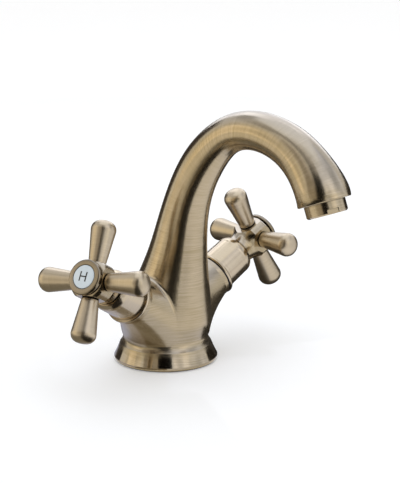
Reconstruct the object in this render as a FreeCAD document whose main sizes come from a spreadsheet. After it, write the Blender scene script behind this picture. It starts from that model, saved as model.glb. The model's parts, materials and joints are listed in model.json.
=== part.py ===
import FreeCAD, Part
import os
import re
import Sketcher

# Two-handle basin mixer. The origin is the centre of the foot on the deck, +Z is up, the spout reaches
# towards -Y and the hot valve is on the -X side. Lengths are in millimetres and angles in degrees.
# Heights of valve and handle pieces are measured along the valve axis, from the point where both axes meet.
SIZES = {
    # foot, waist and torso of the casting
    "base_radius": 26.0,
    "base_lip": 2.2,
    "rim_round": 1.8,
    "skirt_bend": 45.0,
    "skirt_height": 8.8,
    "skirt_radius": 23.0,
    "waist_height": 12.6,
    "waist_radius": 21.35,
    "belly_height": 20.0,
    "belly_radius": 21.6,
    "shoulder_height": 30.5,
    "shoulder_radius": 20.5,
    # swan neck: a leaning straight root, then a rising arc, a crown arc and a falling arc
    "neck_lean": 11.2,
    "neck_root_height": 54.0,
    "neck_root_radius": 15.1,
    "rise_height": 72.0,
    "rise_section": 12.35,
    "rise_bend": 80.5,
    "rise_angle": 43.0,
    "crown_bend": 33.0,
    "crown_angle": 86.0,
    "slim_angle": 68.0,
    "slim_section": 9.05,
    "fall_bend": 42.8,
    "outlet_angle": 160.3,
    "outlet_radius": 12.6,
    "outlet_edge": 0.6,
    # waterways and fixings in the casting
    "waterway_radius": 6.0,
    "chamber_radius": 9.5,
    "chamber_floor": 34.0,
    "cross_passage_radius": 3.2,
    "cross_passage_height": 38.5,
    "cross_passage_reach": 17.0,
    "recess_mouth_radius": 19.4,
    "recess_top_radius": 16.6,
    "recess_depth": 9.0,
    "inlet_spacing": 19.0,
    "inlet_thread_radius": 4.5,
    "inlet_thread_depth": 12.0,
    "inlet_passage_radius": 3.8,
    "inlet_passage_top": 27.0,
    "stud_offset": 11.0,
    "stud_thread_radius": 3.4,
    "stud_thread_depth": 14.0,
    # foot seal in the underside
    "foot_seal_inner_radius": 20.8,
    "foot_seal_width": 2.2,
    "foot_seal_height": 1.6,
    # valve axes: both start at one point and rise outwards, turned a little towards the spout
    "valve_root_y": -0.1,
    "valve_root_height": 20.5,
    "valve_rise": 28.4,
    "valve_yaw": 7.8,
    "branch_reach": 35.9,
    "branch_radius": 11.6,
    "branch_land": 2.5,
    "branch_root_reach": 10.0,
    "branch_root_radius": 20.6,
    "branch_bend": 70.0,
    "branch_fillet": 2.5,
    "branch_edge": 0.5,
    "seat_reach": 17.0,
    "seat_hole_radius": 4.8,
    "seat_hole_end": 9.0,
    # fits
    "thread_clearance": 0.1,
    "running_clearance": 0.06,
    "seat_gap": 0.05,
    "handle_gap": 0.5,
    # bonnet: a turned shell over the headwork, on a thin seal
    "bonnet_seal_height": 0.5,
    "bonnet_seal_inset": 0.4,
    "bead_radius": 11.7,
    "bead_height": 1.6,
    "bead_round": 1.0,
    "bonnet_radius": 10.6,
    "bonnet_top_radius": 10.3,
    "bonnet_wall": 0.8,
    "bonnet_shoulder": 51.5,
    "bonnet_top": 56.0,
    "bonnet_crown_radius": 8.4,
    "bonnet_dome": 5.0,
    "bonnet_roof": 2.6,
    # headwork: the barrel that carries the spindle and the ceramic discs
    "headwork_thread_radius": 8.5,
    "cage_radius": 8.0,
    "cage_length": 13.0,
    "headwork_flange_radius": 9.55,
    "headwork_flange_height": 1.8,
    "headwork_washer_height": 0.8,
    "hex_across_flats": 15.6,
    "hex_height": 6.0,
    "headwork_neck_radius": 7.0,
    "headwork_sink": 1.6,
    "disc_clearance": 0.2,
    "disc_chamber_length": 12.2,
    "window_height": 3.0,
    "window_width": 8.0,
    # ceramic discs and the seat seal
    "seat_seal_height": 1.4,
    "seat_seal_width": 2.0,
    "disc_radius": 6.9,
    "disc_thickness": 3.0,
    "port_inner_radius": 2.4,
    "port_outer_radius": 5.9,
    "port_angle": 38.0,
    # spindle
    "spindle_radius": 5.0,
    "spindle_collar_height": 1.0,
    "tang_width": 3.0,
    "tang_length": 12.0,
    "tang_depth": 1.2,
    "spindle_square": 7.0,
    "spindle_square_length": 10.0,
    "ring_section": 1.0,
    "ring_inset": 6.0,
    "ring_pitch": 4.0,
    "clip_height": 0.8,
    "clip_depth": 0.8,
    "clip_radius": 6.4,
    "clip_mouth": 6.0,
    # cross handle
    "arm_plane": 68.2,
    "hub_radius": 10.2,
    "hub_flats": 16.6,
    "hub_foot_radius": 7.7,
    "hub_flare_height": 8.0,
    "hub_flare_bend": 12.0,
    "hub_front": 74.0,
    "hub_front_radius": 8.0,
    "hub_front_bend": 2.6,
    "hub_shoulder_depth": 2.0,
    "hub_web": 2.6,
    "hot_clock": 5.8,
    "cold_clock": -0.8,
    "arm_reach": 29.8,
    "arm_root_radius": 4.15,
    "arm_joint_depth": 0.5,
    "arm_end_radius": 6.4,
    "arm_cap_bend": 12.0,
    "arm_end_fillet": 4.3,
    "arm_stud_radius": 2.0,
    "arm_stud_length": 3.0,
    "screw_radius": 2.0,
    "screw_length": 12.0,
    "screw_head_radius": 3.6,
    "screw_head_height": 2.4,
    "screw_head_room": 0.4,
    "screw_slot_width": 1.0,
    "screw_slot_depth": 1.2,
    # index: a turned bezel with a porcelain button
    "bezel_radius": 8.9,
    "bezel_front": 77.5,
    "bezel_neck_radius": 6.9,
    "bezel_neck_height": 0.7,
    "bezel_edge": 1.2,
    "bezel_dish": 0.5,
    "bezel_spigot_radius": 5.6,
    "bezel_spigot_length": 2.3,
    "button_radius": 5.3,
    "button_depth": 2.0,
    "button_dome": 0.5,
    # aerator in the spout's end
    "aerator_radius": 9.7,
    "aerator_drop": 6.0,
    "aerator_thread_radius": 9.0,
    "aerator_thread_length": 5.0,
    "aerator_lip_radius": 7.2,
    "aerator_lip_height": 1.0,
    "aerator_chamfer": 0.7,
    "aerator_notch_width": 5.6,
    "aerator_notch_height": 2.4,
    "aerator_notch_depth": 0.9,
    "aerator_notch_turn": 124.0,
    "cartridge_radius": 7.8,
    "cartridge_wall": 1.0,
    "cartridge_rib": 1.2,
    "cartridge_rib_height": 3.0,
    "screen_thickness": 0.8,
    "screen_hole_radius": 0.75,
    "screen_ring_pitch": 2.1,
    "aerator_washer_height": 1.4,
    "aerator_washer_width": 2.6,
}

DOC = FreeCAD.newDocument("basin_mixer")
SHEET = DOC.addObject("Spreadsheet::Sheet", "Sizes")
for row, (alias, number) in enumerate(SIZES.items(), start=1):
    SHEET.set(f"A{row}", alias)
    SHEET.set(f"B{row}", str(number))
    SHEET.setAlias(f"B{row}", alias)
DOC.recompute()

SIDES = ("hot", "cold")
LEFT = 1
RIGHT = -1


def value(formula):
    """Number that a formula on the sheet's names gives."""
    return float(SHEET.evalExpression(formula))


def bind(target, path, formula):
    """Tie a property or a constraint to the sheet by a formula on its names."""
    linked = re.sub(r"[a-z][a-z0-9_]*", lambda word: link(word.group()), formula)
    target.setExpression(path, linked)


def link(word):
    return f"Sizes.{word}" if word in SIZES else word


def place(x="0", y="0", z="0", yaw="0", pitch="0", roll="0"):
    return f"placement(vector({x}; {y}; {z}); rotation({yaw}; {pitch}; {roll}))"


def new_body(name, placement=None):
    body = DOC.addObject("PartDesign::Body", name)
    body.Label = name
    if placement:
        bind(body, "Placement", placement)
    return body


def attach(feature, body, placement=None):
    """Set a sketch or a primitive on its body's base plane, shifted or turned by a placement."""
    plane = next(item for item in body.Origin.OriginFeatures if item.Role == "XY_Plane")
    feature.AttachmentSupport = [(plane, "")]
    feature.MapMode = "FlatFace"
    if placement:
        bind(feature, "AttachmentOffset", placement)


def new_sketch(body, name, placement=None):
    sketch = body.newObject("Sketcher::SketchObject", name)
    attach(sketch, body, placement)
    return sketch


def constrain(sketch, kind, geometry, formula):
    """Dimension a sketch with a formula; a zero distance puts the point on the axis instead."""
    if formula == "0":
        axis = -2 if kind == "DistanceX" else -1
        sketch.addConstraint(Sketcher.Constraint("PointOnObject", *geometry, axis))
        return
    origin = (-1, 1) if kind.startswith("Distance") else ()
    index = sketch.addConstraint(Sketcher.Constraint(kind, *origin, *geometry, value(formula)))
    bind(sketch, f"Constraints[{index}]", formula)


def arc_between(start, end, radius, side):
    """Short arc from start to end whose centre lies on the given side of the chord."""
    chord = end - start
    normal = FreeCAD.Vector(-chord.y, chord.x, 0).normalize() * side
    height = max(radius ** 2 - chord.Length ** 2 / 4, 0.0) ** 0.5
    middle = (start + end) / 2 - normal * (radius - height)
    return Part.ArcOfCircle(start, middle, end) if side == LEFT else Part.ArcOfCircle(end, middle, start)


def outline(body, name, corners, placement=None):
    """Closed sketch through corners (across, along). A corner with a radius and a side ends an arc."""
    sketch = new_sketch(body, name, placement)
    points = [FreeCAD.Vector(value(corner[0]), value(corner[1]), 0) for corner in corners]
    edges = []
    for index, corner in enumerate(corners):
        start, end = points[index - 1], points[index]
        if len(corner) == 2:
            edges.append((sketch.addGeometry(Part.LineSegment(start, end), False), 1, 2))
            continue
        radius, side = corner[2:]
        number = sketch.addGeometry(arc_between(start, end, value(radius), side), False)
        edges.append((number, 1, 2) if side == LEFT else (number, 2, 1))
    for index, (across, along, *arc) in enumerate(corners):
        number, _, last = edges[index]
        following, first, _ = edges[(index + 1) % len(edges)]
        sketch.addConstraint(Sketcher.Constraint("Coincident", number, last, following, first))
        constrain(sketch, "DistanceX", (number, last), across)
        constrain(sketch, "DistanceY", (number, last), along)
        if arc:
            constrain(sketch, "Radius", (number,), arc[0])
    return sketch


def disc_sketch(body, name, radius, placement=None, x="0", y="0"):
    """Sketch of one circle."""
    sketch = new_sketch(body, name, placement)
    centre = FreeCAD.Vector(value(x), value(y), 0)
    number = sketch.addGeometry(Part.Circle(centre, FreeCAD.Vector(0, 0, 1), value(radius)), False)
    constrain(sketch, "Radius", (number,), radius)
    constrain(sketch, "DistanceX", (number, 3), x)
    constrain(sketch, "DistanceY", (number, 3), y)
    return sketch


def turned(body, name, corners, placement=None, cut=False):
    """Profile (radius, height) turned about the Z axis of a placement, added or cut."""
    sketch = outline(body, f"{name}_profile", corners, f"{placement or place()} * {place(roll='90')}")
    feature = body.newObject("PartDesign::Groove" if cut else "PartDesign::Revolution", name)
    feature.Profile = sketch
    feature.ReferenceAxis = (sketch, ["V_Axis"])
    feature.Angle = 360
    DOC.recompute()
    return feature


def primitive(body, name, kind, sizes, placement, **settings):
    """Box, cylinder or prism, added or cut."""
    feature = body.newObject(f"PartDesign::{kind}", name)
    attach(feature, body, placement)
    for path, formula in sizes.items():
        bind(feature, path, formula)
    for path, setting in settings.items():
        setattr(feature, path, setting)
    DOC.recompute()
    return feature


def box(body, name, kind, length, width, height, base):
    """Box centred on its place across X and Y that starts at the height base."""
    corner = place(f"-({length}) / 2", f"-({width}) / 2", base)
    return primitive(body, name, f"{kind}Box", {"Length": length, "Width": width, "Height": height}, corner)


def patterned(body, name, features, count):
    """Features repeated round the local Z axis."""
    pattern = body.newObject("PartDesign::PolarPattern", name)
    pattern.Originals = features
    axis = next(item for item in body.Origin.OriginFeatures if item.Role == "Z_Axis")
    pattern.Axis = (axis, [""])
    pattern.Angle = 360
    pattern.Occurrences = count
    body.Tip = pattern
    DOC.recompute()
    return pattern


def rounded(body, name, base, edges, radius):
    fillet = body.newObject("PartDesign::Fillet", name)
    fillet.Base = (base, edges)
    bind(fillet, "Radius", radius)
    DOC.recompute()
    return fillet


def edges_where(feature, test):
    """Names of the edges whose sampled points all pass a test."""
    names = []
    for number, edge in enumerate(feature.Shape.Edges, start=1):
        if not edge.Degenerated and all(test(point) for point in edge.discretize(9)):
            names.append(f"Edge{number}")
    return names


# Neck centre line as (y, z) formulas: a straight lean, then arcs that each turn further forward.
def on_lean(height):
    return f"(-({height} - waist_height) * tan(neck_lean))", height


def on_arc(start, bend, start_angle, angle):
    across = f"({start[0]} + {bend} * (cos({angle}) - cos({start_angle})))"
    along = f"({start[1]} + {bend} * (sin({angle}) - sin({start_angle})))"
    return across, along


RISE_START = on_lean("rise_height")
RISE_END = on_arc(RISE_START, "rise_bend", "neck_lean", "rise_angle")
CROWN_END = on_arc(RISE_END, "crown_bend", "rise_angle", "crown_angle")
OUTLET = on_arc(CROWN_END, "fall_bend", "crown_angle", "outlet_angle")


def neck_section(angle):
    """Section radius on the arcs: slimmest at the crown, swelling to both ends."""
    falling = value(angle) > value("slim_angle")
    end_section, end_angle = ("outlet_radius", "outlet_angle") if falling else ("rise_section", "neck_lean")
    share = f"(({angle} - slim_angle) / ({end_angle} - slim_angle))"
    return f"slim_section + ({end_section} - slim_section) * {share}^2"


def neck_stations():
    """Centre, tilt and radius of each section from the neck's root to the outlet."""
    stations = [
        (on_lean("neck_root_height"), "neck_lean", "neck_root_radius"),
        (RISE_START, "neck_lean", "rise_section"),
    ]
    arcs = (
        (RISE_START, "rise_bend", "neck_lean", "rise_angle", 2),
        (RISE_END, "crown_bend", "rise_angle", "crown_angle", 2),
        (CROWN_END, "fall_bend", "crown_angle", "outlet_angle", 3),
    )
    for start, bend, start_angle, end_angle, steps in arcs:
        for step in range(1, steps + 1):
            angle = f"({start_angle} + ({end_angle} - {start_angle}) * {step} / {steps})"
            stations.append((on_arc(start, bend, start_angle, angle), angle, neck_section(angle)))
    return stations


def section_place(centre, tilt):
    """Plane square to the centre line, with the circle's seam turned to the back."""
    return f"{place(y=centre[0], z=centre[1], roll=tilt)} * {place(yaw='90')}"


def loft(body, name, kind, stations):
    sections = [
        disc_sketch(body, f"{name}_section_{number}", radius, section_place(centre, tilt))
        for number, (centre, tilt, radius) in enumerate(stations, start=1)
    ]
    feature = body.newObject(f"PartDesign::{kind}Loft", name)
    feature.Profile = sections[0]
    feature.Sections = sections[1:]
    DOC.recompute()
    return feature


def valve_place(side):
    """Frame with its origin where the valve axes meet and Z outwards along one of them."""
    yaw = "-valve_yaw" if side == "cold" else "180 + valve_yaw"
    return place(y="valve_root_y", z="valve_root_height", yaw=yaw, pitch="90 - valve_rise")


def handle_place(side):
    """Valve frame turned about its axis to the angle at which the closed handle stands."""
    return f"{valve_place(side)} * {place(yaw=f'{side}_clock')}"


def valve_frame(side):
    """The valve frame as numbers, to find edges by their distance from the axis."""
    yaw = -value("valve_yaw") if side == "cold" else 180 + value("valve_yaw")
    root = FreeCAD.Vector(0, value("valve_root_y"), value("valve_root_height"))
    return FreeCAD.Placement(root, FreeCAD.Rotation(yaw, 90 - value("valve_rise"), 0))


# Frame at the middle of the spout's end face, with Z out along the water.
OUTLET_PLACE = place(y=OUTLET[0], z=OUTLET[1], roll="outlet_angle")

# Heights along the valve axis that several pieces share.
BONNET_FOOT = "(branch_reach + bonnet_seal_height)"
FLANGE_FOOT = "(branch_reach + headwork_washer_height)"
FLANGE_TOP = f"({FLANGE_FOOT} + headwork_flange_height)"
HEADWORK_TOP = "(bonnet_top - headwork_sink)"
CHAMBER_TOP = "(seat_reach + disc_chamber_length)"
FIXED_DISC_FOOT = "(seat_reach + seat_seal_height)"
TURNING_DISC_FOOT = f"({FIXED_DISC_FOOT} + disc_thickness + seat_gap)"
TURNING_DISC_TOP = f"({TURNING_DISC_FOOT} + disc_thickness)"
CLIP_FOOT = f"({HEADWORK_TOP} + seat_gap)"
HUB_FOOT = "(bonnet_top + handle_gap)"
SPINDLE_TOP = f"({HUB_FOOT} + spindle_square_length)"
SCREW_SEAT = f"({SPINDLE_TOP} + hub_web)"
BORE_RADIUS = "(spindle_radius + running_clearance)"
VALVE_BORE_RADIUS = "(headwork_thread_radius + thread_clearance)"


def ring(body, name, inner, outer, foot, top, placement=None, cut=False):
    """Flat ring with a square section."""
    corners = [(inner, foot), (outer, foot), (outer, top), (inner, top)]
    return turned(body, name, corners, placement, cut)


def round_bar(body, name, radius, foot, top, placement=None, cut=False):
    """Plain round bar or hole on the Z axis."""
    corners = [("0", foot), (radius, foot), (radius, top), ("0", top)]
    return turned(body, name, corners, placement, cut)


def at_distance(radius, tolerance=0.05):
    """Test for points at one distance from the Z axis."""
    return lambda point: abs((point.x ** 2 + point.y ** 2) ** 0.5 - radius) < tolerance


def branch_joint(side):
    """Test for points of the line where a branch meets the torso."""
    frame = valve_frame(side).inverse()
    root = FreeCAD.Vector(value("branch_root_radius"), value("branch_root_reach"), 0)
    end = FreeCAD.Vector(value("branch_radius"), value("branch_reach - branch_land"), 0)
    bend = value("branch_bend")
    centre = arc_between(root, end, bend, RIGHT).Center

    def test(point):
        local = frame.multVec(point)
        if not root.y < local.z < end.y:
            return False
        flank = centre.x - (bend ** 2 - (local.z - centre.y) ** 2) ** 0.5
        return at_distance(flank)(local)

    return test


def branch_rim(side):
    """Test for points of a branch's outer rim."""
    frame = valve_frame(side).inverse()
    reach = value("branch_reach")
    on_radius = at_distance(value("branch_radius"))

    def test(point):
        local = frame.multVec(point)
        return abs(local.z - reach) < 0.05 and on_radius(local)

    return test


def outlet_rim(point):
    centre = FreeCAD.Vector(0, value(OUTLET[0]), value(OUTLET[1]))
    frame = FreeCAD.Placement(centre, FreeCAD.Rotation(0, 0, value("outlet_angle"))).inverse()
    local = frame.multVec(point)
    return abs(local.z) < 0.05 and at_distance(value("outlet_radius"))(local)


def body_casting():
    """One casting: foot, torso, two valve branches and the swan neck, with its bores and waterways."""
    body = new_body("body_casting")
    turned(body, "skirt", [
        ("0", "0"),
        ("base_radius - rim_round", "0"),
        ("base_radius", "rim_round", "rim_round", LEFT),
        ("base_radius", "base_lip"),
        ("skirt_radius", "skirt_height", "skirt_bend", RIGHT),
        ("0", "skirt_height"),
    ])
    torso = [
        (("0", "skirt_height"), "0", "skirt_radius"),
        (on_lean("waist_height"), "0", "waist_radius"),
        (on_lean("belly_height"), "neck_lean / 2", "belly_radius"),
        (on_lean("shoulder_height"), "neck_lean", "shoulder_radius"),
    ]
    solid = loft(body, "torso_and_neck", "Additive", torso + neck_stations())
    for side in SIDES:
        solid = turned(body, f"{side}_branch", [
            ("0", "branch_root_reach"),
            ("branch_root_radius", "branch_root_reach"),
            ("branch_radius", "branch_reach - branch_land", "branch_bend", RIGHT),
            ("branch_radius", "branch_reach"),
            ("0", "branch_reach"),
        ], valve_place(side))
    joints = [edge for side in SIDES for edge in edges_where(solid, branch_joint(side))]
    solid = rounded(body, "branch_blend", solid, joints, "branch_fillet")
    for side in SIDES:
        solid = rounded(body, f"{side}_branch_rim", solid, edges_where(solid, branch_rim(side)), "branch_edge")
    rounded(body, "outlet_rim", solid, edges_where(solid, outlet_rim), "outlet_edge")
    cut_waterways(body)
    cut_underside(body)


def cut_waterways(body):
    """Valve bores with their seats, the mixing chamber, the neck's bore and the aerator's seat."""
    for side in SIDES:
        turned(body, f"{side}_valve_bore", [
            ("0", "seat_hole_end"),
            ("seat_hole_radius", "seat_hole_end"),
            ("seat_hole_radius", "seat_reach"),
            (VALVE_BORE_RADIUS, "seat_reach"),
            (VALVE_BORE_RADIUS, "branch_reach + branch_land"),
            ("0", "branch_reach + branch_land"),
        ], valve_place(side), cut=True)
    chamber = (on_lean("chamber_floor"), "neck_lean", "chamber_radius")
    bore = [(centre, tilt, "waterway_radius") for centre, tilt, _ in neck_stations()]
    loft(body, "waterway", "Subtractive", [chamber] + bore)
    level, height = on_lean("cross_passage_height")
    across = place("-cross_passage_reach", level, height, pitch="90")
    primitive(body, "cross_passage", "SubtractiveCylinder",
              {"Radius": "cross_passage_radius", "Height": "2 * cross_passage_reach"}, across)
    round_bar(body, "aerator_seat", "aerator_thread_radius + thread_clearance",
              "-(aerator_thread_length + aerator_washer_height)", "aerator_thread_length",
              OUTLET_PLACE, cut=True)


def cut_underside(body):
    """Hollow foot with the two tapped inlets, the tapped stud hole and the groove for the foot seal."""
    turned(body, "foot_recess", [
        ("0", "0"),
        ("recess_mouth_radius", "0"),
        ("recess_top_radius", "recess_depth"),
        ("0", "recess_depth"),
    ], cut=True)
    ring(body, "foot_seal_groove", "foot_seal_inner_radius - thread_clearance",
         "foot_seal_inner_radius + foot_seal_width + thread_clearance", "0", "foot_seal_height", cut=True)
    for side, sign in (("hot", "-"), ("cold", "")):
        inlet = place(x=f"{sign}inlet_spacing / 2")
        round_bar(body, f"{side}_inlet_thread", "inlet_thread_radius", "recess_depth",
                  "recess_depth + inlet_thread_depth", inlet, cut=True)
        round_bar(body, f"{side}_inlet_passage", "inlet_passage_radius", "recess_depth",
                  "inlet_passage_top", inlet, cut=True)
    round_bar(body, "stud_hole", "stud_thread_radius", "recess_depth", "recess_depth + stud_thread_depth",
              place(y="stud_offset"), cut=True)


def foot_seal():
    ring(new_body("foot_seal"), "foot_seal_ring", "foot_seal_inner_radius",
         "foot_seal_inner_radius + foot_seal_width", "0", "foot_seal_height - seat_gap")


def aerator_housing():
    """Threaded ring with a chamfered lower edge, an inner lip and two notches for the spanner."""
    body = new_body("aerator_housing", f"{OUTLET_PLACE} * {place(yaw='aerator_notch_turn')}")
    turned(body, "aerator_ring", [
        ("cartridge_radius + thread_clearance", "-aerator_thread_length"),
        ("aerator_thread_radius", "-aerator_thread_length"),
        ("aerator_thread_radius", "seat_gap"),
        ("aerator_radius", "seat_gap"),
        ("aerator_radius", "aerator_drop - aerator_chamfer"),
        ("aerator_radius - aerator_chamfer", "aerator_drop"),
        ("aerator_lip_radius", "aerator_drop"),
        ("aerator_lip_radius", "aerator_drop - aerator_lip_height"),
        ("cartridge_radius + thread_clearance", "aerator_drop - aerator_lip_height"),
    ])
    corner = place("aerator_radius - aerator_notch_depth", "-aerator_notch_width / 2",
                   "aerator_drop - aerator_notch_height")
    notch = primitive(body, "aerator_notch", "SubtractiveBox", {
        "Length": "aerator_radius",
        "Width": "aerator_notch_width",
        "Height": "2 * aerator_notch_height",
    }, corner)
    patterned(body, "aerator_notches", [notch], 2)


SCREEN_TOP = "(aerator_drop - aerator_lip_height - seat_gap)"
SCREEN_FOOT = f"({SCREEN_TOP} - screen_thickness)"


def aerator_cartridge():
    """Plastic cup with three ribs across its lower end."""
    body = new_body("aerator_cartridge", OUTLET_PLACE)
    top = f"{SCREEN_FOOT} - seat_gap"
    ring(body, "cartridge_wall_ring", "cartridge_radius - cartridge_wall", "cartridge_radius",
         "-aerator_thread_length + seat_gap", top)
    rib = box(body, "cartridge_cross_rib", "Additive", "2 * cartridge_radius - cartridge_wall", "cartridge_rib",
              "cartridge_rib_height", f"{top} - cartridge_rib_height")
    patterned(body, "cartridge_ribs", [rib], 3)


def aerator_screen():
    """Perforated disc with rings of holes round a middle one."""
    body = new_body("aerator_screen", OUTLET_PLACE)
    round_bar(body, "screen_disc", "cartridge_radius", SCREEN_FOOT, SCREEN_TOP)
    round_bar(body, "screen_middle_hole", "screen_hole_radius", SCREEN_FOOT, SCREEN_TOP, cut=True)
    for number in (1, 2, 3):
        hole = round_bar(body, f"screen_hole_{number}", "screen_hole_radius", SCREEN_FOOT, SCREEN_TOP,
                         place(x=f"screen_ring_pitch * {number}"), cut=True)
        patterned(body, f"screen_ring_{number}", [hole], 6 * number)


def aerator_washer():
    ring(new_body("aerator_washer", OUTLET_PLACE), "aerator_washer_ring",
         "aerator_thread_radius - aerator_washer_width", "aerator_thread_radius",
         "-(aerator_thread_length + aerator_washer_height) + seat_gap", "-aerator_thread_length - seat_gap")


def bonnet(side):
    """Turned shell with a bead round its foot and a domed top that screws on the headwork's neck."""
    roof = "bonnet_top - bonnet_roof"
    neck = "headwork_neck_radius + thread_clearance"
    turned(new_body(f"{side}_bonnet", valve_place(side)), f"{side}_bonnet_shell", [
        ("bonnet_radius - bonnet_wall", BONNET_FOOT),
        ("bead_radius", BONNET_FOOT),
        ("bead_radius", f"{BONNET_FOOT} + bead_height", "bead_round", LEFT),
        ("bonnet_radius", f"{BONNET_FOOT} + bead_height"),
        ("bonnet_top_radius", "bonnet_shoulder"),
        ("bonnet_crown_radius", "bonnet_top", "bonnet_dome", LEFT),
        (neck, "bonnet_top"),
        (neck, roof),
        ("bonnet_top_radius - bonnet_wall", "bonnet_shoulder"),
    ])


def bonnet_seal(side):
    ring(new_body(f"{side}_bonnet_seal", valve_place(side)), f"{side}_bonnet_seal_ring",
         "bonnet_radius - bonnet_wall", "branch_radius - bonnet_seal_inset", "branch_reach", BONNET_FOOT)


def headwork(side):
    """Barrel with a disc cage, side windows, a flange, spanner hexagon and a threaded neck."""
    body = new_body(f"{side}_headwork", valve_place(side))
    turned(body, f"{side}_headwork_barrel", [
        ("0", "seat_reach + seat_gap"),
        ("cage_radius", "seat_reach + seat_gap"),
        ("cage_radius", "seat_reach + cage_length"),
        ("headwork_thread_radius", "seat_reach + cage_length"),
        ("headwork_thread_radius", FLANGE_FOOT),
        ("headwork_flange_radius", FLANGE_FOOT),
        ("headwork_flange_radius", FLANGE_TOP),
        ("headwork_neck_radius", FLANGE_TOP),
        ("headwork_neck_radius", HEADWORK_TOP),
        ("0", HEADWORK_TOP),
    ])
    primitive(body, f"{side}_headwork_hexagon", "AdditivePrism",
              {"Circumradius": "hex_across_flats / (2 * cos(30))", "Height": "hex_height"},
              place(z=FLANGE_TOP), Polygon=6)
    chamber = "disc_radius + disc_clearance"
    turned(body, f"{side}_headwork_bore", [
        ("0", "seat_reach"),
        (chamber, "seat_reach"),
        (chamber, CHAMBER_TOP),
        (BORE_RADIUS, CHAMBER_TOP),
        (BORE_RADIUS, "bonnet_top"),
        ("0", "bonnet_top"),
    ], cut=True)
    box(body, f"{side}_headwork_windows", "Subtractive", "4 * cage_radius", "window_width", "window_height",
        f"{TURNING_DISC_TOP} + seat_gap")


def headwork_washer(side):
    ring(new_body(f"{side}_headwork_washer", valve_place(side)), f"{side}_headwork_washer_ring",
         VALVE_BORE_RADIUS, "headwork_flange_radius", "branch_reach", FLANGE_FOOT)


def seat_seal(side):
    ring(new_body(f"{side}_seat_seal", valve_place(side)), f"{side}_seat_seal_ring",
         "disc_radius - seat_seal_width", "disc_radius", "seat_reach", FIXED_DISC_FOOT)


def cut_ports(body, name, top, turn):
    """Two opposite sector ports through a ceramic disc."""
    inner_x, inner_y = "port_inner_radius * cos(port_angle)", "port_inner_radius * sin(port_angle)"
    outer_x, outer_y = "port_outer_radius * cos(port_angle)", "port_outer_radius * sin(port_angle)"
    sketch = outline(body, f"{name}_outline", [
        (inner_x, f"-{inner_y}", "port_inner_radius", RIGHT),
        (outer_x, f"-{outer_y}"),
        (outer_x, outer_y, "port_outer_radius", LEFT),
        (inner_x, inner_y),
    ], place(z=top, yaw=turn))
    port = body.newObject("PartDesign::Pocket", name)
    port.Profile = sketch
    bind(port, "Length", "disc_thickness")
    DOC.recompute()
    patterned(body, f"{name}s", [port], 2)


def fixed_disc(side):
    body = new_body(f"{side}_fixed_disc", valve_place(side))
    top = f"{FIXED_DISC_FOOT} + disc_thickness"
    round_bar(body, f"{side}_fixed_disc_blank", "disc_radius", FIXED_DISC_FOOT, top)
    cut_ports(body, f"{side}_fixed_port", top, "0")


def turning_disc(side):
    """Ceramic disc a quarter turn from the fixed one, with a slot for the spindle's tang."""
    body = new_body(f"{side}_turning_disc", handle_place(side))
    round_bar(body, f"{side}_turning_disc_blank", "disc_radius", TURNING_DISC_FOOT, TURNING_DISC_TOP)
    cut_ports(body, f"{side}_turning_port", TURNING_DISC_TOP, "90")
    box(body, f"{side}_tang_slot", "Subtractive", "3 * disc_radius", "tang_width + 2 * seat_gap",
        "2 * tang_depth", f"{TURNING_DISC_TOP} - tang_depth - seat_gap")


def ring_height(number):
    """Height of a spindle ring's middle; the first is nearest the headwork's top."""
    return f"({HEADWORK_TOP} - ring_inset - ring_pitch * {number})"


def spindle(side):
    """Stem with a collar, a tang for the turning disc, ring and clip grooves and a drive square."""
    body = new_body(f"{side}_spindle", handle_place(side))
    foot = f"{TURNING_DISC_TOP} + seat_gap"
    collar_top = f"{CHAMBER_TOP} - seat_gap"
    collar_foot = f"{collar_top} - spindle_collar_height"
    turned(body, f"{side}_spindle_stem", [
        ("0", foot),
        ("spindle_radius", foot),
        ("spindle_radius", collar_foot),
        ("disc_radius", collar_foot),
        ("disc_radius", collar_top),
        ("spindle_radius", collar_top),
        ("spindle_radius", "bonnet_top"),
        ("0", "bonnet_top"),
    ])
    box(body, f"{side}_spindle_tang", "Additive", "tang_length", "tang_width", "2 * tang_depth",
        f"{TURNING_DISC_TOP} - tang_depth")
    box(body, f"{side}_spindle_square_end", "Additive", "spindle_square", "spindle_square",
        f"{SPINDLE_TOP} - bonnet_top", "bonnet_top")
    for number in (0, 1):
        middle = ring_height(number)
        ring(body, f"{side}_ring_groove_{number}", "spindle_radius - ring_section", "2 * spindle_radius",
             f"{middle} - 0.6 * ring_section", f"{middle} + 0.6 * ring_section", cut=True)
    ring(body, f"{side}_clip_groove", "spindle_radius - clip_depth", "2 * spindle_radius", CLIP_FOOT,
         f"{CLIP_FOOT} + clip_height + 2 * seat_gap", cut=True)
    round_bar(body, f"{side}_spindle_tapping", "screw_radius + seat_gap", f"{SCREW_SEAT} - screw_length - seat_gap",
              SCREW_SEAT, cut=True)


def spindle_rings(side):
    """Two rubber rings in the spindle's grooves, one node."""
    hoops = []
    for number in (0, 1):
        hoop = DOC.addObject("Part::Torus", f"{side}_spindle_ring_{number}")
        bind(hoop, "Radius1", "spindle_radius + running_clearance / 2 - ring_section / 2")
        bind(hoop, "Radius2", "ring_section / 2")
        bind(hoop, "Placement", f"{handle_place(side)} * {place(z=ring_height(number))}")
        hoops.append(hoop)
    group = DOC.addObject("Part::Compound", f"{side}_spindle_rings")
    group.Links = hoops
    DOC.recompute()


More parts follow.
